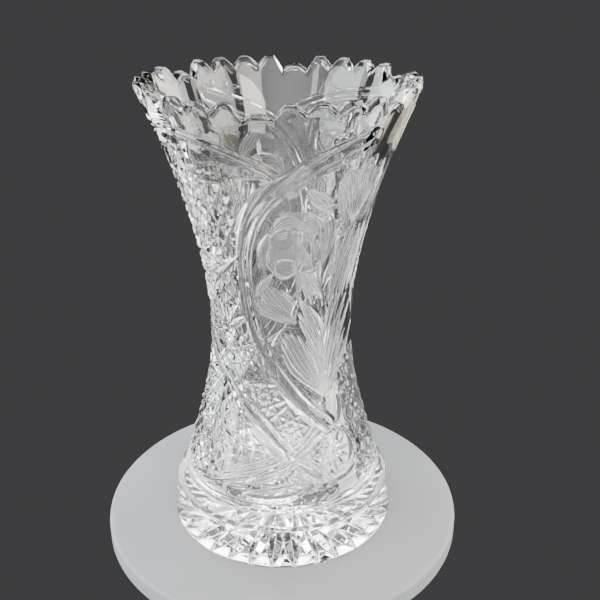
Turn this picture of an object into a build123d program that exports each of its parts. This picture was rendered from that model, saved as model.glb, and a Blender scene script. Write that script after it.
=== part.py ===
from build123d import *
import os
from math import cos, radians, sin, sqrt

# Cut crystal vase: one hand-cut body of lead crystal, and the maker's label stuck
# under its rim, which is a printed foil on a paper backing.
# Millimetres, +Z up. The origin is the centre of the foot's resting plane, and the
# front is -Y. Angles go round the axis from the front towards +X.

os.makedirs("parts", exist_ok=True)

# Driving dimensions of the body
height = 254.0
rim_radius = 72.5
collar_z = 216.0
waist_radius = 39.1
waist_z = 121.0
upper_flare = 37.0
upper_flare_length = 85.0
lower_flare = 15.0
lower_flare_length = 44.5
foot_radius = 65.4
foot_height = 23.0
foot_taper = 2.8
foot_edge = 1.4
rim_wall = 6.2
wall = 8.0
waist_wall = 8.8
floor_z = 25.0
floor_corner = 12.0

# The underside is dished, so that the vase stands on a ring. A star is cut in it, and
# the star's rays run on, shallower, across the ring to near the edge of the foot
dish_radius = 50.0
dish_depth = 1.8
star_lines = 16
star_reach = 44.0
star_width = 6.0
star_depth = 2.2
ray_reach = 61.5
ray_width = 4.5
ray_depth = 1.0

# Teeth of the rim: six lobes, each of four tall teeth and one short tooth
lobe_count = 6
teeth_per_lobe = 5
short_tooth_angle = -8.0
notch_depth = 4.4
notch_width = 10.0
deep_notch_depth = 7.4
deep_notch_width = 11.0
short_tooth_drop = 4.2
short_tooth_width = 12.0
cutter_rise = 1.0

# Polished windows just above the smooth skirt of the foot
window_count = 15
window_length = 17.0
window_height = 9.0
window_z = 31.0
window_sink = 0.9
window_lean = 17.0

# Polished bands that wind round the wall, as angle and z. The pattern repeats twice round
turn_count = 2
groove_radius = 5.5
groove_sink = 1.3
panel_band = [(40, 236), (9, 221), (-15, 200), (-28, 168), (-24, 132), (-7, 110), (13, 90), (32, 74)]
collar_band = [(-72, 236), (-52, 236), (-33, 233), (-16, 227), (-2, 219)]
side_band = [(-72, 236), (-91, 216), (-102, 190), (-103, 164), (-93, 138), (-72, 117), (-45, 101)]
foot_band = [(-45, 101), (-31, 90), (-13, 76), (3, 62), (25, 47)]

# Label
label_angle = 88.0
label_z = 231.0
label_height = 23.0
label_width = 32.0
label_corner = 5.0
paper_thickness = 0.2
foil_thickness = 0.1
foil_margin = 0.6

pitch = 360.0 / (lobe_count * teeth_per_lobe)
lobe = 360.0 / lobe_count
reach = rim_radius + wall
inner_rim_radius = rim_radius - rim_wall


def flare(amount, length, z):
    """Growth of the radius away from the waist, along one branch of a hyperbola."""
    return amount * (sqrt(1 + ((z - waist_z) / length) ** 2) - 1)


def wall_radius(z):
    """Outer radius of the uncut wall, which flares straight above the collar."""
    if z < waist_z:
        return waist_radius + flare(lower_flare, lower_flare_length, z)
    if z <= collar_z:
        return waist_radius + flare(upper_flare, upper_flare_length, z)
    collar_radius = waist_radius + flare(upper_flare, upper_flare_length, collar_z)
    return collar_radius + (rim_radius - collar_radius) * (z - collar_z) / (height - collar_z)


def facing(angle, distance=0.0, z=0.0, lean=0.0):
    """The plane that looks outward at an angle round the axis, and may lean upward."""
    a = radians(angle)
    tilt = radians(lean)
    return Plane(
        origin=(distance * sin(a), -distance * cos(a), z),
        x_dir=(cos(a), sin(a), 0),
        z_dir=(sin(a) * cos(tilt), -cos(a) * cos(tilt), sin(tilt)),
    )


def notch_angles(places):
    """The angles that stand at the given places, in tooth pitches, in every lobe."""
    return [short_tooth_angle + lobe * n + pitch * place for n in range(lobe_count) for place in places]


def vee(width, depth, base, rise):
    """Corners of a V whose point is at base + depth and whose open side is past base."""
    return [(0, base + depth), (width / 2, base - rise), (-width / 2, base - rise)]


def beside_wall(angle, z):
    """A point just outside the wall, where the centre of the band's cutter runs."""
    radius = wall_radius(z) + groove_radius - groove_sink
    return (radius * sin(radians(angle)), -radius * cos(radians(angle)), z)


# Body
with BuildPart() as crystal_body:
    with BuildSketch(Plane.XZ):
        with BuildLine():
            Polyline(
                (0, dish_depth),
                (dish_radius - dish_depth, dish_depth),
                (dish_radius, 0),
                (foot_radius - foot_edge, 0),
                (foot_radius, foot_edge),
                (foot_radius - foot_taper, foot_height - foot_edge),
                (wall_radius(foot_height), foot_height),
            )
            outside_levels = (foot_height, 50.0, 85.0, waist_z, 155.0, 188.0, collar_z)
            Spline(*[(wall_radius(z), z) for z in outside_levels])
            Polyline((wall_radius(collar_z), collar_z), (rim_radius, height), (inner_rim_radius, height))
            Line((inner_rim_radius, height), (wall_radius(collar_z) - wall, collar_z))
            inside_levels = (collar_z, 185.0, 152.0, waist_z, 88.0, 62.0)
            bore = Spline(
                *[(wall_radius(z) - (waist_wall if z == waist_z else wall), z) for z in inside_levels],
                (wall_radius(50) - 9.5, floor_z + floor_corner),
            )
            corner = TangentArc(
                bore @ 1,
                (bore.position_at(1).X - floor_corner, floor_z),
                tangent=bore % 1,
            )
            Line(corner @ 1, (0, floor_z))
            Line((0, floor_z), (0, dish_depth))
        make_face()
    revolve(axis=Axis.Z)

    # V notches between the tall teeth
    with BuildSketch(*[facing(angle) for angle in notch_angles((1.5, 2.5, 3.5))]):
        Polygon(*vee(notch_width, -notch_depth, height, -cutter_rise), align=None)
    extrude(amount=reach, mode=Mode.SUBTRACT)

    # Deeper notches on both sides of each short tooth
    with BuildSketch(*[facing(angle) for angle in notch_angles((-0.5, 0.5))]):
        Polygon(*vee(deep_notch_width, -deep_notch_depth, height, -cutter_rise), align=None)
    extrude(amount=reach, mode=Mode.SUBTRACT)

    # The short teeth are cut lower than the rest
    with BuildSketch(*[facing(angle) for angle in notch_angles((0,))]):
        with Locations((0, height - (short_tooth_drop - cutter_rise) / 2)):
            Rectangle(short_tooth_width, short_tooth_drop + cutter_rise)
    extrude(amount=reach, mode=Mode.SUBTRACT)

    # Polished windows just above the skirt
    window_angles = [360.0 / window_count * n for n in range(window_count)]
    window_distance = wall_radius(window_z) - window_sink
    with BuildSketch(*[facing(angle, window_distance, window_z, window_lean) for angle in window_angles]):
        Ellipse(window_length / 2, window_height / 2)
    extrude(amount=wall, mode=Mode.SUBTRACT)

    # Bands that wind round the wall
    for number in range(turn_count):
        for stations in (panel_band, collar_band, side_band, foot_band):
            with BuildLine():
                half_turn = 360.0 / turn_count * number
                path = Spline(*[beside_wall(angle + half_turn, z) for angle, z in stations])
            with BuildSketch(Plane(origin=path @ 0, z_dir=path % 0)):
                Circle(groove_radius)
            sweep(path=path, mode=Mode.SUBTRACT)

    # Star cut in the underside, and the shallow ends of its rays
    star_angles = [180.0 / star_lines * (n + 0.5) for n in range(star_lines)]
    with BuildSketch(*[facing(angle) for angle in star_angles]):
        Polygon(*vee(star_width, star_depth, dish_depth, cutter_rise), align=None)
    extrude(amount=star_reach, both=True, mode=Mode.SUBTRACT)
    with BuildSketch(*[facing(angle) for angle in star_angles]):
        Polygon(*vee(ray_width, ray_depth, 0, cutter_rise), align=None)
    extrude(amount=ray_reach, both=True, mode=Mode.SUBTRACT)
crystal_body.part.label = "crystal_body"
export_step(crystal_body.part, "parts/crystal_body.step")


def skin(inner, thickness, bottom, top):
    """Section of a thin skin that lies at a distance outside the straight flare."""
    return [
        (wall_radius(bottom) + inner, bottom),
        (wall_radius(bottom) + inner + thickness, bottom),
        (wall_radius(top) + inner + thickness, top),
        (wall_radius(top) + inner, top),
    ]


# Label: two thin skins on the straight flare, trimmed to rounded rectangles
label_low = label_z - label_height / 2
label_high = label_z + label_height / 2

with BuildPart() as label_paper:
    with BuildSketch(Plane.XZ):
        Polygon(*skin(0, paper_thickness, label_low, label_high), align=None)
    revolve(axis=Axis.Z)
    with BuildSketch(facing(label_angle)):
        with Locations((0, label_z)):
            RectangleRounded(label_width, label_height, label_corner)
    extrude(amount=reach, mode=Mode.INTERSECT)
label_paper.part.label = "label_paper"
export_step(label_paper.part, "parts/label_paper.step")

with BuildPart() as label_foil:
    with BuildSketch(Plane.XZ):
        Polygon(*skin(paper_thickness, foil_thickness, label_low, label_high), align=None)
    revolve(axis=Axis.Z)
    with BuildSketch(facing(label_angle)):
        with Locations((0, label_z)):
            RectangleRounded(
                label_width - 2 * foil_margin,
                label_height - 2 * foil_margin,
                label_corner - foil_margin,
            )
    extrude(amount=reach, mode=Mode.INTERSECT)
label_foil.part.label = "label_foil"
export_step(label_foil.part, "parts/label_foil.step")
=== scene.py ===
from itertools import pairwise
from math import ceil, floor, pi, radians, sqrt

import bmesh
import bpy
import numpy as np
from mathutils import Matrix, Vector


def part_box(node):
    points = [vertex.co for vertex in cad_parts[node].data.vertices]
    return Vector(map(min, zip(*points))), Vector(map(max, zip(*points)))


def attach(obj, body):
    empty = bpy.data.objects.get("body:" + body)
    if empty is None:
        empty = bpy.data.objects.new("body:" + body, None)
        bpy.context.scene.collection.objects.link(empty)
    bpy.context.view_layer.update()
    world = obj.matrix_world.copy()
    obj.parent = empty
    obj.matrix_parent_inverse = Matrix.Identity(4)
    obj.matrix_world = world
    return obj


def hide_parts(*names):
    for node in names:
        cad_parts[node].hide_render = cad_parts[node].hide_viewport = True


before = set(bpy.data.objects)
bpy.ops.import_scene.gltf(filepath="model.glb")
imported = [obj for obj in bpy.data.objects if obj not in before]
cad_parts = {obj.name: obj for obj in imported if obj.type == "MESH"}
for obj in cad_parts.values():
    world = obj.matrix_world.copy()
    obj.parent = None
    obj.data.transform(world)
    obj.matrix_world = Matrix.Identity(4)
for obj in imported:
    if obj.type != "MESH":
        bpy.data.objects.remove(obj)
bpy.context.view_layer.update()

# Cut crystal vase. Angles are in degrees round the axis, from the front (-Y) towards +X.
# The glass, its cuts and the label are worked out in millimetres, and MM turns them into metres.
MM = 0.001
body_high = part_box("crystal_body")[1]
paper_low, paper_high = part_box("label_paper")
foil_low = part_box("label_foil")[0]

# ---------------------------------------------------------------- driving sizes
# The blank: a hyperbola each side of the waist, a straight flare above the collar, and a stepped foot
HEIGHT = body_high.z / MM
RIM_RADIUS = body_high.x / MM
COLLAR_Z = 216.0
WAIST_RADIUS = 39.1
WAIST_Z = 121.0
UPPER_FLARE, UPPER_LENGTH = 37.0, 85.0
LOWER_FLARE, LOWER_LENGTH = 15.0, 44.5
FOOT_RADIUS = 65.4
FOOT_HEIGHT = 23.0
FOOT_TAPER = 2.8
FOOT_EDGE = 1.0
RIM_WALL = 6.2
WALL = 8.0
BASE_WALL = 9.5
BASE_WALL_Z, BASE_WALL_LENGTH = 60.0, 30.0
FLOOR_Z = 25.0
FLOOR_CORNER = 12.0
FLOOR_HUB = 1.0

# Underside: a dish with a star in it, whose rays narrow and fade out across the ring that it stands on.
# Every other ray is short: it starts at the first of SHORT_RAYS and is full at the second.
DISH_EDGE, DISH_FULL = 54.0, 34.0
DISH_DEPTH = 1.8
STAR_RAYS = 32
STAR_DEPTH = 2.4
RAY_REACH = 63.0
RAY_WIDTH = 3.4
RAY_TIP, RAY_TAPER = 0.3, 16.0
RAY_END, RAY_FULL = 64.5, 54.0
SHORT_RAYS = (18.0, 40.0)
UNDERSIDE_HUB = 0.6

# The ledge above the skirt, its rounded corner as steps inward and down, and the gap up to the wall
SKIRT_GAP = 1.0
LEDGE_CORNER = ((0.15, 0.35), (0.6, 0.0))
LEDGE_GAP = 0.3
EDGE_ROUND = 0.3

# Rim: six lobes, each of four tall teeth and one short tooth. The notches are deeper towards the bore
LOBES = 6
TEETH_PER_LOBE = 5
SHORT_TOOTH = -8.0
NOTCH_DEPTH = 4.4
DEEP_NOTCH_DEPTH = 7.4
SHORT_TOOTH_DROP = 4.2
TOOTH_FLAT = 0.30
NOTCH_CURVE = 1.2
INWARD_DROP = 0.1
RIM_STRETCH_Z, RIM_STRETCH_CURVE = 238.0, 1.4
RIM_FADE = 6.0
RIM_BEVEL = 1.8
RIM_BEVEL_SLOPE = 0.7
INNER_BEVEL = 1.0
OUTER_LIP, INNER_LIP = 0.3, 0.1
BORE_GAP, RIM_GAP = 0.4, 0.1
MITRE_HEIGHT = 5.5
MITRE_DEPTH = 0.7

# Grid of the vase. The pattern is cut once on each half turn
TURNS = 2
COLUMNS = 1080
WALL_ROWS = 720
UNDERSIDE_ROWS, SKIRT_ROWS = 84, 24
BORE_ROWS, CORNER_ROWS, FLOOR_ROWS = 90, 9, 14
STEP = 360.0 / COLUMNS
HALF = COLUMNS // TURNS

# Cutting: the deepest cut, how much deeper a polished cut must be to clear frosting, how steep the
# grooves of a diamond field are, how often creases are softened, and the least width of a tapered cut
DEEPEST = 3.2
CLEARING = 0.05
DIAMOND_SLOPE = 2.2
SOFTENING = 2
TINY = 1e-3

# Engraving: the finishes, the white line's width, and the least depth of a stroke and of a petal
MATT, WHITE = 1, 2
LINE = 0.3
STROKE_SKIN, PETAL_SKIN = 0.06, 0.08

# A petal's scallops, steepness, line and veins. PETAL_OUTER is where the line along its outer edge ends,
# and VEIN_START is how far from its middle its veins begin, both as shares of the petal.
SCALLOPS, SCALLOP_DEPTH = 5, 0.04
PETAL_STEEPNESS = 7
PETAL_LINE = 1.6 * LINE
PETAL_OUTER = -0.3
VEIN_PITCH, VEIN_WIDTH, VEIN_START = 2.4, 0.12, 0.4

# A leaf's blade as shares of its length, spread and depth, how much shorter its outer strokes are, and
# how far the strokes spread at half their length and rise at their tips, as shares of the spread
BLADE_LENGTH, BLADE_WIDTH, BLADE_DEPTH = 0.95, 0.95, 0.6
LEAF_TIP = 0.22
LEAF_BELLY, LEAF_RISE = 0.55, 0.5
LEAF_BOW = 0.02

# Label, whose rings are given as shares of the way from its middle to its edge
LABEL_ANGLE = 88.0
LABEL_Z = (paper_low.z + paper_high.z) / 2 / MM
LABEL_WIDTH = 32.0
LABEL_HEIGHT = (paper_high.z - paper_low.z) / MM
LABEL_CORNER = 5.0
SEAT_FADE_ACROSS, SEAT_FADE_UP = 4.0, 2.0
PAPER = 0.2
FOIL = 0.1
FOIL_MARGIN = (foil_low.z - paper_low.z) / MM
GLUED = 0.05
EDGE_STEPS = 14
EMBOSS = 0.06
BORDER = (0.87, 0.94)
INNER_BORDER = (0.79, 0.82)
PAPER_RINGS = (1.0, 0.8, 0.5, 0.2)
PRINT_RINGS = np.linspace(1.0, 0.04, 49)
ROSETTE_RINGS = np.linspace(1.0, 0.1, 10)
ROSETTE_RADIUS = 4.2
ROSETTE_PETALS = 8
ROSETTE_SWELL = 0.22
ROSETTE_STEP = 3

# Stage, light and camera, in metres and degrees
STAGE_RADIUS, STAGE_THICKNESS, STAGE_GAP = 0.105, 0.012, 0.0002
STAGE_BEVEL, STAGE_BEVEL_STEPS, STAGE_SIDES = 0.002, 3, 256
COOL, WARM, WINDOW = (0.93, 0.97, 1.0), (1.0, 0.96, 0.90), (1.0, 0.93, 0.8)
ROOM_LEVEL, ROOM_BLUE = 0.055, 1.05
CAMERA_DISTANCE, CAMERA_HEIGHT = 0.4322, 0.3264
CAMERA_PITCH, CAMERA_YAW = 24.19, 1.411
CAMERA_LENS, CAMERA_SENSOR = 51.1, 36.0


# ---------------------------------------------------------------- profile of the blank
def wall_radius(z):
    """Outer radius of the uncut wall."""
    low = WAIST_RADIUS + LOWER_FLARE * (np.sqrt(1 + ((z - WAIST_Z) / LOWER_LENGTH) ** 2) - 1)
    high = WAIST_RADIUS + UPPER_FLARE * (np.sqrt(1 + ((z - WAIST_Z) / UPPER_LENGTH) ** 2) - 1)
    collar = WAIST_RADIUS + UPPER_FLARE * (sqrt(1 + ((COLLAR_Z - WAIST_Z) / UPPER_LENGTH) ** 2) - 1)
    flare = collar + (RIM_RADIUS - collar) * (z - COLLAR_Z) / (HEIGHT - COLLAR_Z)
    return np.where(z < WAIST_Z, low, np.where(z < COLLAR_Z, high, flare))


def inner_radius(z):
    """Radius of the polished bore."""
    rise = np.clip((z - COLLAR_Z) / (HEIGHT - COLLAR_Z), 0, 1)
    sink = np.clip((BASE_WALL_Z - z) / BASE_WALL_LENGTH, 0, 1)
    return wall_radius(z) - WALL + (WALL - RIM_WALL) * rise - (BASE_WALL - WALL) * sink


def smooth(value, start, end):
    """Smooth step from 0 at start to 1 at end."""
    t = np.clip((value - start) / (end - start), 0, 1)
    return t * t * (3 - 2 * t)


def tooth_side(angles):
    """Place among the teeth of a lobe, and 0 on a tooth's flat top rising to 1 at the notch's bottom."""
    place = ((angles - SHORT_TOOTH) / (360.0 / (LOBES * TEETH_PER_LOBE))) % TEETH_PER_LOBE
    side = np.abs(place - np.round(place)) * 2
    return place, np.clip((side - TOOTH_FLAT) / (1 - TOOTH_FLAT), 0, 1)


def rim_drop(angles):
    """How far the toothed rim stands below the full height, at each angle."""
    place, side = tooth_side(angles)
    beside_short = (place < 1) | (place > TEETH_PER_LOBE - 1)
    notch = np.where(beside_short, DEEP_NOTCH_DEPTH, NOTCH_DEPTH)
    top = np.where(np.round(place) % TEETH_PER_LOBE == 0, SHORT_TOOTH_DROP, 0.0)
    return top + (notch - top) * side ** NOTCH_CURVE


def rim_share(z):
    """How much of the rim's drop is felt at each height: none below RIM_STRETCH_Z and all at the top."""
    return np.clip((z - RIM_STRETCH_Z) / (HEIGHT - RIM_STRETCH_Z), 0, 1) ** RIM_STRETCH_CURVE


# ---------------------------------------------------------------- grid of the outer wall
# Every cut is written into depth, in millimetres, and frost, the finish. The cuts are placed on the
# half turn that half_turn numbers, and the grid bends down under the notches of the rim.
ANGLES = np.arange(COLUMNS) * STEP
LEVELS = np.linspace(FOOT_HEIGHT + LEDGE_GAP, HEIGHT - RIM_GAP, WALL_ROWS)
DROP = rim_drop(ANGLES)
HEIGHTS = LEVELS[:, None] - rim_share(LEVELS)[:, None] * DROP[None]
depth = np.zeros(HEIGHTS.shape)
frost = np.zeros(HEIGHTS.shape, int)
half_turn = 0


def window(points, reach):
    """Rows and columns of the grid near some points, with their angles and heights."""
    zs = [z for _, z in points]
    turns = [angle for angle, _ in points]
    rows = np.flatnonzero((LEVELS > min(zs) - reach) & (LEVELS < max(zs) + reach + DEEP_NOTCH_DEPTH))
    slim = float(wall_radius(LEVELS[rows]).min())
    margin = reach / slim / radians(1)
    columns = np.arange(floor((min(turns) - margin) / STEP), ceil((max(turns) + margin) / STEP) + 1)
    place = np.ix_(rows, (columns + half_turn * HALF) % COLUMNS)
    return place, (columns * STEP)[None], HEIGHTS[place]


def beside(points, reach):
    """The grid near a line of points: distance to the line, signed side and place along it."""
    place, angle, z = window(points, reach)
    scale = radians(1) * wall_radius(z)
    gap = np.full(z.shape, reach * 2.0)
    side = np.ones(z.shape)
    along = np.zeros(z.shape)
    pairs = list(pairwise(points))
    for number, ((a0, z0), (a1, z1)) in enumerate(pairs):
        dx, dz = (a1 - a0) * scale, z1 - z0
        px, pz = (angle - a0) * scale, z - z0
        t = np.clip((px * dx + pz * dz) / (dx * dx + dz * dz), 0, 1)
        apart = np.hypot(px - t * dx, pz - t * dz)
        near = apart < gap
        gap = np.where(near, apart, gap)
        side = np.where(near, np.sign(dx * pz - dz * px), side)
        along = np.where(near, (number + t) / len(pairs), along)
    return place, gap, gap * side, along


def curve(stations, steps=10):
    """A smooth line through a few stations."""
    p = np.array(stations, float)
    p = np.vstack([2 * p[0] - p[1], p, 2 * p[-1] - p[-2]])
    line = []
    for k in range(1, len(p) - 2):
        for t in np.linspace(0, 1, steps, endpoint=False):
            a = 2 * p[k]
            b = p[k + 1] - p[k - 1]
            c = 2 * p[k - 1] - 5 * p[k] + 4 * p[k + 1] - p[k + 2]
            d = 3 * p[k] - p[k - 1] - 3 * p[k + 1] + p[k + 2]
            line.append(tuple((a + b * t + c * t * t + d * t ** 3) / 2))
    return line + [tuple(p[-2])]


def offset(centre, across, up):
    """The point that lies so many millimetres across and up from another on the wall."""
    angle, z = centre
    return (angle + across / float(wall_radius(np.array(z))) / radians(1), z + up)


def polar(centre, radius, turn):
    """The point at a distance and direction from another, on the wall."""
    return offset(centre, radius * np.cos(radians(turn)), radius * np.sin(radians(turn)))


def between(start, end, share):
    """The point part of the way from one to another."""
    return (start[0] + (end[0] - start[0]) * share, start[1] + (end[1] - start[1]) * share)


# ---------------------------------------------------------------- cuts
def grind(place, amount):
    """Takes glass away down to a depth, and leaves what it reaches polished."""
    frost[place] = np.where(amount > depth[place] + CLEARING, 0, frost[place])
    depth[place] = np.maximum(depth[place], amount)


def vee(points, half_width, deep, taper=0.0):
    """A V groove along a line. With a taper of 1 it runs out to a point at both ends."""
    place, gap, _, along = beside(points, half_width)
    width = half_width * (1 - taper * (2 * along - 1) ** 2)
    grind(place, deep / half_width * (width - gap))


def hollow(points, half_width, deep, shift=0.0):
    """A round-bottomed polished groove along a line, or beside it."""
    place, gap, side, _ = beside(points, half_width + abs(shift))
    grind(place, deep * (1 - ((side - shift) / half_width) ** 2))


def lens(points, half_width, deep):
    """A long polished hollow, pointed at both ends."""
    place, gap, _, along = beside(points, half_width)
    width = half_width * np.sqrt(np.clip(1 - (2 * along - 1) ** 2, 0, 1))
    grind(place, deep * (1 - (gap / np.maximum(width, TINY)) ** 3))


def star(centre, radius, rays, half_width=0.9, deep=0.8, turn=90.0):
    """Tapered cuts that cross at one point."""
    for ray in range(rays):
        angle = turn + 180.0 * ray / rays
        vee([polar(centre, radius, angle), polar(centre, radius, angle + 180)], half_width, deep, 0.85)


def hobstar(centre, radius, points, skip, half_width=0.8, deep=0.8, turn=90.0):
    """A star of straight chords, with a small star on the button that they leave."""
    corners = [polar(centre, radius, turn + 360.0 * n / points) for n in range(points)]
    for n in range(points):
        vee([corners[n], corners[(n + skip) % points]], half_width, deep, 0.25)
    button = radius * abs(np.cos(pi * skip / points))
    star(centre, button * 0.85, 4, half_width * 0.7, deep * 0.6, turn)


def fan(centre, radius, start, end, rays, half_width=0.8, deep=0.8):
    """Tapered cuts that spread from one point."""
    for angle in np.linspace(start, end, rays):
        vee([centre, polar(centre, radius, angle)], half_width, deep, 0.6)


def diamonds(low, high, pitch, lean, deep, edge=2.0):
    """A field of crossing V grooves between two corners given as angle and z."""
    middle = between(low, high, 0.5)
    place, angle, z = window([low, high], 0.0)
    scale = radians(1) * wall_radius(np.array(middle[1]))
    x, y = (angle - middle[0]) * scale, z - middle[1]
    inside = smooth(z, low[1], low[1] + edge) * smooth(-z, -high[1], edge - high[1])
    inside = inside * smooth(angle, low[0], low[0] + edge) * smooth(-angle, -high[0], edge - high[0])
    field = np.zeros(z.shape)
    for turn in (lean, -lean):
        phase = (x * np.cos(radians(turn)) + y * np.sin(radians(turn))) / pitch
        field = np.maximum(field, 1 - DIAMOND_SLOPE * np.abs(phase - np.round(phase)))
    grind(place, deep * field * inside)


def pane(start, end, low, high, sink=0.3, slope=0.0):
    """A flat polished window between two angles and two heights, which may lean by its slope."""
    middle, half = (start + end) / 2, (end - start) / 2
    place, angle, z = window([(start, low), (end, high)], 0.0)
    chord = np.cos(radians(half)) / np.cos(np.radians(np.clip(angle - middle, -half, half)))
    inside = (np.abs(angle - middle) <= half) & (z >= low) & (z <= high)
    tilt = slope * (z - low) / (high - low)
    grind(place, np.where(inside, wall_radius(z) * (1 - chord) + sink + tilt, 0))


def thumbprint(centre, wide, tall, deep=1.1):
    """A polished oval hollow."""
    place, angle, z = window([centre], max(wide, tall))
    x = (angle - centre[0]) * radians(1) * wall_radius(z)
    grind(place, deep * (1 - (x / wide) ** 2 - ((z - centre[1]) / tall) ** 2))


# ---------------------------------------------------------------- engraving
def matt(place, inside, amount, line=False):
    """Engraves a frosted hollow over whatever is there, with some of it left as white lines."""
    depth[place] = np.where(inside, amount, depth[place])
    frost[place] = np.where(inside, np.where(line, WHITE, MATT), frost[place])


def stroke(points, half_width, deep, blunt=0.35):
    """One frosted stroke of the wheel with white edges, fine at its start and full near its end."""
    place, gap, _, along = beside(points, half_width)
    width = half_width * np.sin(pi * np.clip(along, 0.02, 0.98) ** (1 + blunt)) ** 0.6
    amount = deep * (1 - (gap / np.maximum(width, TINY)) ** 2) + STROKE_SKIN
    held = np.where(frost[place] > 0, np.maximum(depth[place], amount), amount)
    matt(place, gap < width, held, gap > width - LINE)


def petal(centre, wide, tall, turn, deep, veined=False):
    """A frosted petal, cut deepest along its outer edge, and some with fine lines down it."""
    reach = max(wide, tall)
    place, angle, z = window([centre], reach * 1.1)
    x = (angle - centre[0]) * radians(1) * wall_radius(z)
    y = z - centre[1]
    c, s = np.cos(radians(turn)), np.sin(radians(turn))
    across, up = (x * c + y * s) / wide, (y * c - x * s) / tall
    ripple = 1 + SCALLOP_DEPTH * np.cos(SCALLOPS * np.arctan2(across, up))
    rho = np.hypot(across, up) / ripple
    amount = deep * (0.5 + 0.5 * up) * (1 - rho ** PETAL_STEEPNESS) + PETAL_SKIN
    edge = (rho > 1 - PETAL_LINE / reach) & (up > PETAL_OUTER)
    if veined:
        vein = np.abs(np.sin(across * wide * pi / VEIN_PITCH + 2 * up)) < VEIN_WIDTH
        edge = edge | (vein & (rho > VEIN_START))
    matt(place, rho < 1, amount, edge)


def leaf(base, tip, spread, strokes, half_width, deep, bend=0.0):
    """A frosted leaf: a shallow blade under strokes that spread from its base to a feathered tip."""
    bow = LEAF_BOW * np.hypot((tip[0] - base[0]) * 0.8, tip[1] - base[1])
    middle = offset(between(base, tip, 0.5), bend, bow)
    blade = curve([base, middle, between(base, tip, BLADE_LENGTH)], 5)
    stroke(blade, spread * BLADE_WIDTH, deep * BLADE_DEPTH, 0.0)
    for share in np.linspace(-1, 1, strokes):
        end = between(base, tip, 1 - LEAF_TIP * share ** 2)
        end = offset(end, spread * share, spread * LEAF_RISE * share)
        middle = offset(between(base, end, 0.5), bend + spread * LEAF_BELLY * share, bow)
        stroke(curve([base, middle, end], 5), half_width, deep)


def spray(root, length, start, end, strokes, half_width=0.5, deep=0.35):
    """Fine frosted strokes that spread from one point."""
    for angle in np.linspace(start, end, strokes):
        stroke([root, polar(root, length, angle)], half_width, deep)


# ---------------------------------------------------------------- the pattern
# Points are given as angle and z. A band is a line of points that its polished grooves follow.
PANEL_BAND = [(40, 236), (9, 221), (-15, 200), (-28, 168), (-24, 132), (-7, 110), (13, 90), (32, 74)]
COLLAR_BAND = [(-72, 236), (-52, 236), (-33, 233), (-16, 227), (-2, 219)]
SIDE_BAND = [(-72, 236), (-91, 216), (-102, 190), (-103, 164), (-93, 138), (-72, 117), (-45, 101)]
FOOT_BAND = [(-45, 101), (-31, 90), (-13, 76), (3, 62), (25, 47)]
SWEEP_BAND = [(-56, 37), (-40, 43), (-26, 49), (-12, 54), (6, 61), (15, 67), (27, 76)]
ROSE = (8, 184)
TALL_CALYX, SMALL_CALYX = (46, 189), (50, 152)
SHEAF = (35, 91)
MEDALLION = (34, 59.5)


def cut_star_panel():
    """Diamonds, stars and fans between the side band and the panel band."""
    diamonds((-98, 176), (-24, 214), 6.6, 34, 1.5)
    diamonds((-98, 214), (-46, 230), 6.6, 34, 1.5)
    for turn in (35, 60, 85, 110, 135):
        lens([polar((-48, 128), 4, turn), polar((-48, 128), 19, turn)], 1.9, 1.7)
        lens([polar((-80, 128), 4, turn), polar((-80, 128), 17, turn)], 1.9, 1.6)
    hobstar((-54, 201), 13, 8, 3, 1.7, 1.6)
    hobstar((-46, 160), 15, 8, 3, 1.9, 1.7)
    star((-46, 160), 13, 4, 1.6, 1.6)
    hobstar((-78, 160), 15, 8, 3, 1.8, 1.6)
    lens([(-83, 135), (-30, 172)], 3.0, 1.9)
    lens([(-63, 167), (-34, 144)], 2.8, 1.8)
    hobstar((-37, 184), 9, 8, 3, 1.4, 1.2)
    lens([(-43, 232), (-44, 218)], 3.6, 1.6)
    vee([(-22.5, 218), (-20.5, 203)], 1.0, 0.9, 0.5)
    vee([(-16.5, 217), (-17.5, 205)], 0.9, 0.8, 0.5)
    for start in (-42, -37, -32, -27, -22, -17, -12):
        pane(start, start + 4.2, 218.5, 223.5, 0.5)
    hobstar((-62, 128), 11, 8, 3, 1.5, 1.4)
    hobstar((-31, 116), 9.5, 8, 3, 1.3, 1.2)
    lens([(-72, 186), (-58, 176)], 2.6, 1.8)
    lens([(-60, 108), (-40, 124)], 2.4, 1.6)


def cut_lower_body():
    """Stars, discs and lens cuts between the bands and the foot."""
    diamonds((-95, 37), (-37, 100), 6.2, 42, 1.3)
    hobstar((-13, 92), 10.5, 8, 3, 1.3, 1.3)
    star((-13, 92), 8.5, 4, 1.0, 1.3)
    lens(curve([(-34, 98), (-19, 101), (-3, 101)]), 1.4, 1.2)
    hobstar((6, 77), 9.5, 8, 3, 1.3, 1.3)
    star((6, 77), 8, 4, 1.1, 1.4)
    vee([(-14, 78), (4, 90)], 1.0, 1.0, 0.4)
    hobstar((-54, 68), 17, 8, 3, 1.9, 1.8)
    star((-54, 68), 13, 4, 1.6, 1.7)
    lens([(-60, 80), (-51, 55)], 3.6, 2.1)
    hobstar((-80, 88), 12, 8, 3, 1.6, 1.5)
    for start, low in ((-36, 64), (-28, 58), (-19, 60), (-29, 69)):
        pane(start, start + 7.5, low, low + 7, 0.6, 0.9)
    diamonds((57, 36), (92, 112), 6.0, 38, 1.3)
    hobstar((66, 90), 12, 8, 3, 1.6, 1.5)
    hobstar((72, 58), 14, 8, 3, 1.8, 1.7)
    fan((62, 38), 12, 20, 160, 6, 1.4, 1.4)
    diamonds((46, 94), (58, 112), 4.4, 36, 1.0)
    lens([(45.5, 89), (42, 75)], 2.4, 1.6)
    thumbprint((30, 89), 2.6, 2.4, 1.3)


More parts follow.
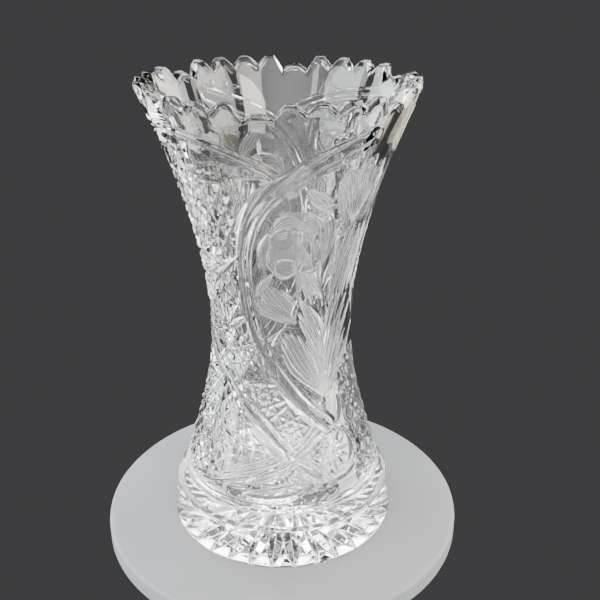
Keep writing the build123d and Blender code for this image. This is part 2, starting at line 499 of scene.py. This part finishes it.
def cut_medallion():
    """A clear disc with a star in it, inside two crossing arcs."""
    disc = [polar(MEDALLION, 13.6, turn) for turn in range(0, 361, 15)]
    hollow(disc, 1.6, 1.5)
    star(MEDALLION, 12, 6, 1.1, 1.6)
    star(MEDALLION, 8, 6, 0.8, 1.2, 105)
    lens(curve([(8, 59), (22, 66), (33, 77)]), 1.8, 1.6)
    lens(curve([(31, 44), (47, 48), (60, 60)]), 2.6, 1.6)
    pane(49, 57, 62, 70, 0.6, 0.9)
    pane(53, 62, 50, 58, 0.6, 0.9)


def cut_crescents():
    """Two lens cuts above the foot, with notches across part of each."""
    upper = curve([(-23, 44.5), (-11, 48), (0, 52), (8, 58)])
    lower = curve([(-24, 38), (-10, 39.5), (6, 42.5), (19, 46)])
    for line, wide, first, last in ((upper, 4.2, 14, 27), (lower, 4.4, 12, 26)):
        lens(line, wide, 2.9)
        for point in line[first:last:3]:
            vee([offset(point, -1.2, -wide * 0.8), offset(point, 1.2, wide * 0.8)], 0.9, 3.2, 0.5)


def cut_bands():
    """The wide polished bands, each a broad hollow with a narrow one beside it."""
    for line in (PANEL_BAND, SIDE_BAND, FOOT_BAND):
        hollow(curve(line), 3.8, 1.9, -1.0)
        hollow(curve(line), 1.9, 1.2, 4.9)
    hollow(curve(COLLAR_BAND), 2.8, 1.4, -1.5)
    hollow(curve(COLLAR_BAND), 1.3, 0.9, 2.7)
    hollow(curve(SWEEP_BAND), 2.1, 1.5)
    hollow(curve(SWEEP_BAND), 1.1, 1.0, 3.4)


def cut_foot_windows():
    """Flat windows in two rows just above the ledge of the foot."""
    edges = (-98, -80, -62, -44, -26, 5, 22, 44, 62, 82)
    for start, end in pairwise(edges):
        pane(start, end, 23.0, 30.6, 0.3)
        pane(start, end, 31.4, 35.2, 0.9, -0.8)


def engrave_leaves():
    """Stems, leaves and the sheaf that they grow from."""
    vee([(-14, 124), (3, 134), (12, 149), (13.5, 166)], 0.8, 0.9)
    long_blades = (((41, 146), 1.8), ((49, 150), 1.8), ((57, 146), 1.8), ((66, 140), 1.9), ((79, 124), 2.0))
    for tip, wide in long_blades:
        stroke(curve([SHEAF, offset(between(SHEAF, tip, 0.5), -2.0, 2), tip], 5), wide, 0.8)
    for tip in ((45, 132), (53, 132), (61, 124), (68, 112)):
        stroke(curve([SHEAF, offset(between(SHEAF, tip, 0.5), -1.5, 1), tip], 5), 1.0, 1.1)
    leaf((10, 137), (-13, 158), 6.0, 7, 0.8, 0.6)
    leaf((10, 137), (-18, 148), 4.0, 4, 0.8, 0.6, -1.0)
    leaf(SHEAF, (3, 131), 6.5, 7, 0.9, 0.7, -1.0)
    leaf(SHEAF, (12, 153), 2.6, 3, 1.0, 0.7, 4.0)
    leaf((33, 118), (12, 151), 3.0, 3, 0.9, 0.7, 2.0)
    leaf((13, 168), (23, 146), 1.4, 3, 0.7, 0.6)
    leaf((13, 168), (31, 148), 1.4, 3, 0.8, 0.6)
    leaf((13, 168), (13, 154), 0.8, 2, 0.5, 0.5)
    leaf((-5, 166), (-18, 152), 1.6, 3, 0.6, 0.5)
    leaf((29, 197), (14, 212), 2.6, 4, 1.1, 0.7)
    leaf((30, 202), (20, 197), 1.6, 3, 0.8, 0.6)
    for dash in ((-12, 150), (-6, 146), (0, 141), (10, 122), (16, 115), (22, 108)):
        vee([dash, offset(dash, 5.0, -1.0)], 0.5, 1.0, 0.8)
    for start, end in (((12, 149), (8, 140)), ((1.5, 133), (-7, 123.5)), ((31, 186), (29, 178))):
        lens([start, end], 1.1, 1.3)


def engrave_rose():
    """The rose: outer petals, two side folds, an open eye and a bud below it."""
    for across, up, wide, tall, turn in (
        (-14.0, -6, 4.0, 10.5, -10),
        (9, -12, 7.5, 6.0, -140),
        (3, 7, 13.5, 9.0, -12),
        (15, -1, 5.5, 14.0, -6),
        (8, 0, 6.0, 14.5, 6),
        (-4, -9, 9.5, 12.0, 172),
        (-4, 1, 8.5, 6.5, 0),
    ):
        petal(offset(ROSE, across, up), wide, tall, turn, 2.2)
    petal((3, 168.5), 5.4, 5.2, 180, 1.6)
    thumbprint((4.5, 188.5), 5.6, 2.9, 2.4)
    for lift in range(4):
        start, end = offset(ROSE, -9.5 - lift, 3 + lift), offset(ROSE, 5 + lift, 5)
        stroke(curve([start, offset(ROSE, -3, 8.2 + 1.7 * lift), end], 6), 0.45, 1.6)
    for drop in range(3):
        stroke([offset(ROSE, -9, 3.0 - 1.3 * drop), offset(ROSE, -3, 4.6 - 1.5 * drop)], 0.4, 1.6)
    for start, end, wide in (
        ((13.5, 188), (18, 176), 1.3),
        ((21, 186), (25, 172), 1.5),
        ((24.5, 190), (27, 180), 1.2),
        ((20.5, 177), (23, 167), 1.8),
    ):
        lens([start, end], wide, 2.6)
    spray((2, 197), 4, 70, 120, 3, 0.5, 0.4)


def engrave_tall_leaves():
    """Long narrow leaves that hang from the tall blossom."""
    for base, tip in (
        ((46, 188), (37, 146)),
        ((55, 186), (48, 143)),
        ((62, 186), (57, 148)),
        ((78, 172), (65, 142)),
    ):
        stroke(curve([tip, offset(between(base, tip, 0.5), -1.0, 0), base], 5), 1.9, 0.7)
        stroke(curve([offset(tip, 2.6, 3), offset(base, 2.2, -3)], 5), 1.2, 0.8)


def engrave_blossom(calyx, size):
    """A blossom of three long petals and the strokes that spread from its calyx."""
    petals = ((-8, 16, 5.5, 15, 12), (9, 15, 5.5, 16, -12), (0, 17, 6.5, 17, 0))
    for across, up, wide, tall, turn in petals:
        petal(offset(calyx, across * size, up * size), wide * size, tall * size, turn, 1.4, True)
    for across in (-12, -8, -4.5, -1, 2.5, 6, 10, 14):
        top = offset(calyx, across * 1.15 * size, (32 - abs(across) * 0.6) * size)
        stroke(curve([calyx, offset(calyx, across * 0.75 * size, 16 * size), top], 5), 1.1 * size, 1.2)
    lens([offset(calyx, -3 * size, 2 * size), offset(calyx, -8 * size, -4 * size)], 1.6 * size, 1.4)


def engrave_edges():
    """Fine sprays and dots near the bands."""
    spray((-26, 231), 9, 75, 130, 6, 0.5, 0.4)
    spray((-6, 214), 7, 40, 110, 5, 0.5, 0.4)
    spray((4, 207), 5, 40, 110, 4, 0.4, 0.3)
    spray((24, 226), 5, 40, 130, 4, 0.5, 0.4)
    spray((34, 226), 5, 40, 130, 4, 0.5, 0.4)
    for dot in ((22, 237), (28, 239), (35, 240)):
        thumbprint(dot, 1.5, 2.2, 0.9)
    vee([(-24.5, 241), (-22, 231)], 0.7, 0.8, 0.4)
    lens([(14, 208), (14, 199)], 1.0, 1.3)


for half_turn in range(TURNS):
    cut_star_panel()
    cut_lower_body()
    cut_foot_windows()
    engrave_leaves()
    engrave_rose()
    if half_turn == 0:
        engrave_tall_leaves()
        engrave_blossom(TALL_CALYX, 1.0)
    else:
        engrave_blossom(SMALL_CALYX, 0.62)
    engrave_edges()
    cut_bands()
    cut_medallion()
    cut_crescents()

# Soften the creases a little, as polishing does
for _ in range(SOFTENING):
    depth = (np.roll(depth, 1, 1) + 2 * depth + np.roll(depth, -1, 1)) / 4
    depth[1:-1] = (depth[:-2] + 2 * depth[1:-1] + depth[2:]) / 4

# Plain glass below the rim, then the mitres beside its teeth and the bevel round them
below_rim = (HEIGHT - LEVELS)[:, None]
mitre = MITRE_DEPTH * tooth_side(ANGLES)[1] * np.clip(1 - below_rim / MITRE_HEIGHT, 0, 1)
bevel = RIM_BEVEL_SLOPE * np.clip(RIM_BEVEL - below_rim, 0, RIM_BEVEL)
depth = np.clip(depth * smooth(below_rim, 0, RIM_FADE), 0, DEEPEST)
depth = np.maximum(depth, mitre) + bevel


# ---------------------------------------------------------------- glass mesh
def ring_points(radius, z):
    """Coordinates in metres of a whole grid of radius and height, one column per angle."""
    turn = np.radians(ANGLES)
    radius, z = np.broadcast_arrays(radius, z)
    return np.stack([radius * np.sin(turn), -radius * np.cos(turn), z + 0 * turn], -1) * MM


def plain_ring(radius, z):
    """A round ring at one radius and height."""
    return ring_points(np.array([[radius]]), np.array([[z]]))


def uncut_label_seat(amount):
    """Leaves the glass smooth where the label is stuck."""
    across = np.abs(ANGLES - LABEL_ANGLE)[None] * radians(1) * wall_radius(LEVELS)[:, None]
    up = np.abs(LEVELS - LABEL_Z)[:, None]
    beyond = smooth(across, LABEL_WIDTH / 2, LABEL_WIDTH / 2 + SEAT_FADE_ACROSS)
    above = smooth(up, LABEL_HEIGHT / 2, LABEL_HEIGHT / 2 + SEAT_FADE_UP)
    return amount * np.maximum(beyond, above)


def foot_rings():
    """Underside with its star, and the smooth skirt up to the ledge."""
    half_ray = radians(180.0 / STAR_RAYS)
    place = ANGLES / 360.0 * STAR_RAYS + 0.5
    off_ray = np.abs((place + 0.5) % 1 - 0.5)[None] * 2
    long_ray = (np.floor(place + 0.5) % 2 == 0)[None]
    radii = np.linspace(UNDERSIDE_HUB, FOOT_RADIUS - FOOT_EDGE, UNDERSIDE_ROWS)[:, None]
    dish = DISH_DEPTH * smooth(-radii, -DISH_EDGE, -DISH_FULL)
    taper = RAY_TIP + (1 - RAY_TIP) * smooth(-radii, -RAY_REACH, RAY_TAPER - RAY_REACH)
    width = np.minimum(radii * np.sin(half_ray), RAY_WIDTH) * taper
    gap = off_ray * radii * np.sin(half_ray)
    fade = smooth(-radii, -RAY_END, -RAY_FULL) * np.where(long_ray, 1.0, smooth(radii, *SHORT_RAYS))
    star_cut = STAR_DEPTH * np.clip(1 - gap / width, 0, 1) * fade
    levels = np.linspace(FOOT_EDGE, FOOT_HEIGHT - SKIRT_GAP, SKIRT_ROWS)[:, None]
    rings = [ring_points(radii, dish + star_cut)]
    rings.append(plain_ring(FOOT_RADIUS - EDGE_ROUND * FOOT_EDGE, EDGE_ROUND * FOOT_EDGE))
    rings.append(ring_points(FOOT_RADIUS - FOOT_TAPER * levels / FOOT_HEIGHT, levels))
    for inward, below in LEDGE_CORNER:
        rings.append(plain_ring(FOOT_RADIUS - FOOT_TAPER - inward, FOOT_HEIGHT - below))
    return rings


def wall_rings():
    """The cut outer wall up to the toothed rim."""
    amount = uncut_label_seat(depth)
    lean = np.gradient(wall_radius(LEVELS), LEVELS)[:, None]
    length = np.sqrt(1 + lean ** 2)
    return [ring_points(wall_radius(HEIGHTS) - amount / length, HEIGHTS + amount * lean / length)]


def bore_rings():
    """The rim's bevelled top, the smooth bore and its floor."""
    drop = DROP[None]
    rings = []
    outer = depth[-1:] + OUTER_LIP
    for inward, lower in ((outer, 0.0), (RIM_WALL - INNER_BEVEL, 0.0), (RIM_WALL - INNER_LIP, INNER_BEVEL)):
        z = HEIGHT - drop * (1 + INWARD_DROP * inward / RIM_WALL) - lower
        rings.append(ring_points(wall_radius(z) - inward, z))
    levels = np.linspace(HEIGHT - INNER_BEVEL - BORE_GAP, FLOOR_Z + FLOOR_CORNER, BORE_ROWS)[:, None]
    z = levels - rim_share(levels) * drop * (1 + INWARD_DROP)
    rings.append(ring_points(inner_radius(z), z))
    base = float(inner_radius(levels[-1, 0]))
    for turn in np.linspace(0, 90, CORNER_ROWS)[1:]:
        across = FLOOR_CORNER * (1 - np.cos(radians(turn)))
        up = FLOOR_CORNER * (1 - np.sin(radians(turn)))
        rings.append(plain_ring(base - across, FLOOR_Z + up))
    for radius in np.linspace(base - FLOOR_CORNER, FLOOR_HUB, FLOOR_ROWS)[1:]:
        rings.append(plain_ring(radius, FLOOR_Z))
    return rings


def build_mesh(name, vertices, faces, slots, materials):
    """A smooth-shaded mesh object from arrays of corners and of three- or four-sided faces."""
    mesh = bpy.data.meshes.new(name)
    corners = np.concatenate([block.ravel() for block in faces])
    sides = np.concatenate([np.full(len(block), block.shape[1]) for block in faces])
    mesh.vertices.add(len(vertices))
    mesh.vertices.foreach_set("co", vertices.astype(np.float32).ravel())
    mesh.loops.add(len(corners))
    mesh.loops.foreach_set("vertex_index", corners.astype(np.int32))
    mesh.polygons.add(len(sides))
    mesh.polygons.foreach_set("loop_start", (np.cumsum(sides) - sides).astype(np.int32))
    for made in materials:
        mesh.materials.append(made)
    mesh.polygons.foreach_set("material_index", slots.astype(np.int32))
    mesh.polygons.foreach_set("use_smooth", np.ones(len(sides), bool))
    mesh.update(calc_edges=True)
    mesh.validate()
    piece = bpy.data.objects.new(name, mesh)
    bpy.context.scene.collection.objects.link(piece)
    return piece


def crystal(materials):
    """The whole vase body as one closed mesh."""
    foot, outside, bore = foot_rings(), wall_rings(), bore_rings()
    grid = np.concatenate([block.reshape(-1, COLUMNS, 3) for block in foot + outside + bore])
    rings = len(grid)
    first_wall = sum(len(block.reshape(-1, COLUMNS, 3)) for block in foot)
    index = np.arange(rings * COLUMNS).reshape(rings, COLUMNS)
    right = np.roll(index, -1, 1)
    quads = np.stack([index[:-1], right[:-1], right[1:], index[1:]], -1).reshape(-1, 4)
    slots = np.zeros((rings - 1, COLUMNS), int)
    slots[first_wall:first_wall + WALL_ROWS - 1] = frost[:-1]
    ends = np.array([[0, 0, grid[0, 0, 2]], [0, 0, grid[-1, 0, 2]]])
    vertices = np.concatenate([grid.reshape(-1, 3), ends])
    low, high = len(vertices) - 2, len(vertices) - 1
    low_cap = np.stack([right[0], index[0], np.full(COLUMNS, low)], -1)
    high_cap = np.stack([index[-1], right[-1], np.full(COLUMNS, high)], -1)
    slots = np.concatenate([slots.ravel(), np.zeros(2 * COLUMNS, int)])
    return build_mesh("crystal_body_glass", vertices, [quads, low_cap, high_cap], slots, materials)


def label_point(across, up, proud):
    """A point of the label, by its distances across and up from its middle and out from the glass."""
    z = LABEL_Z + up
    turn = radians(LABEL_ANGLE) + across / float(wall_radius(np.array(LABEL_Z)))
    radius = float(wall_radius(np.array(z))) + proud
    return (radius * np.sin(turn) * MM, -radius * np.cos(turn) * MM, z * MM)


def rounded_rectangle(margin):
    """Points round the label's edge, moved in by a margin."""
    corner = LABEL_CORNER - margin
    wide, tall = LABEL_WIDTH / 2 - LABEL_CORNER, LABEL_HEIGHT / 2 - LABEL_CORNER
    points = []
    for quarter, (sx, sy) in enumerate(((1, 1), (-1, 1), (-1, -1), (1, -1))):
        for turn in np.radians(np.linspace(quarter * 90, quarter * 90 + 90, EDGE_STEPS)):
            points.append((sx * wide + corner * np.cos(turn), sy * tall + corner * np.sin(turn)))
        x, y = points[-1]
        reach = 2 * wide if quarter % 2 == 0 else 2 * tall
        for step in np.linspace(0, reach, EDGE_STEPS)[1:-1]:
            heading = radians(quarter * 90 + 180)
            points.append((x + step * np.cos(heading), y + step * np.sin(heading)))
    return points


def rosette():
    """Points round a plain flower shape."""
    points = []
    for turn in np.radians(np.arange(0, 360, ROSETTE_STEP)):
        reach = ROSETTE_RADIUS * (1 + ROSETTE_SWELL * np.cos(ROSETTE_PETALS * turn))
        points.append((reach * np.cos(turn), reach * np.sin(turn)))
    return points


def plain(share):
    """No ring of the sheet is raised."""
    return False


def in_border(share):
    """The two gold lines round the label."""
    return BORDER[0] < share < BORDER[1] or INNER_BORDER[0] < share < INNER_BORDER[1]


def in_flower(share):
    """Every ring of the flower is raised."""
    return True


def label_sheet(name, outline, inside, outside, shares, raised, materials):
    """A thin closed sheet of rings. Those that raised picks stand proud, in the second material."""
    made = bmesh.new()
    rings = []
    for share in shares:
        proud = outside + (EMBOSS if raised(share) else 0.0)
        rings.append([made.verts.new(label_point(x * share, y * share, proud)) for x, y in outline])
    back = [made.verts.new(label_point(x, y, inside)) for x, y in outline]
    middle_out = made.verts.new(label_point(0, 0, outside))
    middle_in = made.verts.new(label_point(0, 0, inside))
    for number in range(len(outline)):
        after = (number + 1) % len(outline)
        for k, (outer, inner) in enumerate(pairwise(rings)):
            face = made.faces.new((outer[number], outer[after], inner[after], inner[number]))
            face.material_index = int(raised(shares[k]) and raised(shares[k + 1]))
        made.faces.new((rings[-1][number], rings[-1][after], middle_out))
        made.faces.new((back[number], back[after], rings[0][after], rings[0][number]))
        made.faces.new((back[after], back[number], middle_in))
    mesh = bpy.data.meshes.new(name)
    made.to_mesh(mesh)
    made.free()
    for shade in materials:
        mesh.materials.append(shade)
    piece = bpy.data.objects.new(name, mesh)
    bpy.context.scene.collection.objects.link(piece)
    return piece


# ---------------------------------------------------------------- materials
def material(name, **values):
    """A material whose shader sockets hold the given values."""
    made = bpy.data.materials.new(name)
    made.use_nodes = True
    shader = made.node_tree.nodes["Principled BSDF"]
    for socket, value in values.items():
        shader.inputs[socket.replace("_", " ")].default_value = value
    return made, made.node_tree, shader


def crystal_finish(name, colour, roughness, bending, clearness):
    """One finish of the glass, with the index of refraction that bends light in it."""
    values = {"Base_Color": colour, "Roughness": roughness, "IOR": bending, "Transmission_Weight": clearness}
    return material(name, **values)[0]


def crystal_finishes():
    """Polished crystal, the same glass left matt by the wheel, and the white line at a matt cut's edge."""
    clear = crystal_finish("clear_crystal", (1, 1, 1, 1), 0.0, 1.545, 1.0)
    matted = crystal_finish("engraved_crystal", (0.92, 0.95, 0.97, 1), 0.27, 1.52, 0.96)
    edged = crystal_finish("white_line", (0.95, 0.97, 1.0, 1), 0.35, 1.52, 0.82)
    return [clear, matted, edged]


def grain(tree, scale, detail):
    """Noise that moves with the piece."""
    place = tree.nodes.new("ShaderNodeTexCoord")
    noise = tree.nodes.new("ShaderNodeTexNoise")
    noise.inputs["Scale"].default_value = scale
    noise.inputs["Detail"].default_value = detail
    tree.links.new(place.outputs["Object"], noise.inputs["Vector"])
    return noise.outputs["Fac"]


def shades(tree, factor, dark, light, socket):
    """Drives a colour socket between two colours."""
    ramp = tree.nodes.new("ShaderNodeValToRGB")
    for element, position, shade in zip(ramp.color_ramp.elements, (0.35, 0.65), (dark, light)):
        element.position = position
        element.color = shade
    tree.links.new(factor, ramp.inputs["Fac"])
    tree.links.new(ramp.outputs["Color"], socket)


def paper():
    """Aged cream backing paper with a fine fibre."""
    made, tree, shader = material("label_paper", Roughness=0.85)
    fibre = grain(tree, scale=900, detail=4)
    shades(tree, fibre, (0.70, 0.64, 0.47, 1), (0.83, 0.79, 0.64, 1), shader.inputs["Base Color"])
    bump = tree.nodes.new("ShaderNodeBump")
    bump.inputs["Strength"].default_value = 0.25
    bump.inputs["Distance"].default_value = 0.0001
    tree.links.new(grain(tree, scale=2400, detail=2), bump.inputs["Height"])
    tree.links.new(bump.outputs["Normal"], shader.inputs["Normal"])
    return made


def foil(name, dark, light, roughness, metallic):
    """Printed foil, slightly worn."""
    made, tree, shader = material(name, Roughness=roughness, Metallic=metallic, Coat_Weight=0.3)
    shades(tree, grain(tree, scale=350, detail=6), dark, light, shader.inputs["Base Color"])
    return made


# ---------------------------------------------------------------- floor, light and camera
def floor_disc():
    """A plain pale round floor."""
    bpy.ops.mesh.primitive_cylinder_add(vertices=STAGE_SIDES, radius=STAGE_RADIUS, depth=STAGE_THICKNESS)
    disc = bpy.context.object
    disc.name = "pale_floor"
    disc.location = (0, 0, -STAGE_THICKNESS / 2 - STAGE_GAP)
    bevel = disc.modifiers.new("edge", "BEVEL")
    bevel.width = STAGE_BEVEL
    bevel.segments = STAGE_BEVEL_STEPS
    bevel.limit_method = "ANGLE"
    disc.data.materials.append(material("pale_floor", Base_Color=(0.18, 0.195, 0.21, 1), Roughness=0.7)[0])


def softbox(name, place, wide, tall, watts, spread=180, tint=(1, 1, 1)):
    """A rectangular soft light that looks at the middle of the vase. A smaller spread dims its edges."""
    light = bpy.data.lights.new(name, "AREA")
    light.shape = "RECTANGLE"
    light.size = wide
    light.size_y = tall
    light.energy = watts
    light.color = tint
    light.spread = radians(spread)
    lamp = bpy.data.objects.new(name, light)
    lamp.location = place
    middle = Vector((0, 0, HEIGHT * MM / 2))
    lamp.rotation_euler = (middle - Vector(place)).to_track_quat("-Z", "Y").to_euler()
    lamp.visible_camera = False
    bpy.context.scene.collection.objects.link(lamp)


def camera():
    """The camera at the reference's viewing angle."""
    data = bpy.data.cameras.new("camera")
    data.lens = CAMERA_LENS
    data.sensor_width = CAMERA_SENSOR
    made = bpy.data.objects.new("camera", data)
    made.location = (0, -CAMERA_DISTANCE, CAMERA_HEIGHT)
    made.rotation_euler = (radians(90 - CAMERA_PITCH), 0, radians(-CAMERA_YAW))
    bpy.context.scene.collection.objects.link(made)
    bpy.context.scene.camera = made


def dark_room():
    """A dark, even surround, so that the glass shows by its highlights."""
    world = bpy.data.worlds.new("dark_room")
    world.use_nodes = True
    background = world.node_tree.nodes["Background"]
    background.inputs["Color"].default_value = (ROOM_LEVEL, ROOM_LEVEL, ROOM_LEVEL * ROOM_BLUE, 1)
    bpy.context.scene.world = world


# ---------------------------------------------------------------- object
gold = foil("gold_foil", (0.52, 0.30, 0.09, 1), (0.75, 0.50, 0.19, 1), 0.28, 1.0)
black = foil("black_foil", (0.008, 0.007, 0.006, 1), (0.02, 0.017, 0.014, 1), 0.32, 0.0)
backing_edge, print_edge = rounded_rectangle(0.0), rounded_rectangle(FOIL_MARGIN)
glass = crystal(crystal_finishes())
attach(glass, "root")
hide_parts("crystal_body")
backing = label_sheet("label_backing", backing_edge, -GLUED, PAPER, PAPER_RINGS, plain, [paper()])
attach(backing, "root")
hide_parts("label_paper")
face, face_in = PAPER + FOIL, PAPER - GLUED
printed = label_sheet("label_print", print_edge, face_in, face, PRINT_RINGS, in_border, [black, gold])
flower = label_sheet("label_rosette", rosette(), PAPER, face, ROSETTE_RINGS, in_flower, [gold, gold])
for piece in (printed, flower):
    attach(piece, "root")
    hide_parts("label_foil")

# ---------------------------------------------------------------- scene
# Each light has a place, a width and a height in metres, its watts, its spread in degrees and its tint.
floor_disc()
softbox("overhead", (-0.3, -0.3, 1.5), 1.0, 0.8, 5, 140)
softbox("front_wall", (-0.3, -1.5, 0.55), 6.0, 6.0, 130, 105)
softbox("front_window", (0.7, -1.2, 1.0), 0.6, 0.5, 12, 150, WINDOW)
softbox("back_top", (0, 1.3, 1.1), 1.8, 0.5, 14)
for name, side, tint in (("left", -1, COOL), ("right", 1, WARM)):
    softbox(name + "_front", (1.3 * side, -0.35, 0.7), 0.9, 0.9, 16, 150, tint)
    softbox(name + "_back", (0.95 * side, 0.8, 0.7), 0.9, 0.9, 20, 150, tint)
    softbox(name + "_below", (1.25 * side, -0.3, 0.0), 0.6, 0.8, 16, 150, tint)
softbox("left_back_below", (-0.9, 0.9, 0.0), 0.4, 0.8, 7, 150, COOL)
softbox("spark_left", (-0.7, -0.9, 0.9), 0.12, 0.12, 3)
softbox("spark_right", (0.5, -0.8, 1.1), 0.1, 0.1, 2)
for name, across, tint in (
    ("glint_blue", -0.27, (0.3, 0.5, 1.0)),
    ("glint_yellow", -0.2, (1.0, 0.9, 0.4)),
    ("glint_orange", -0.13, (1.0, 0.45, 0.2)),
):
    softbox(name, (across, -0.3, 1.0), 0.06, 0.6, 5, 180, tint)
dark_room()
camera()
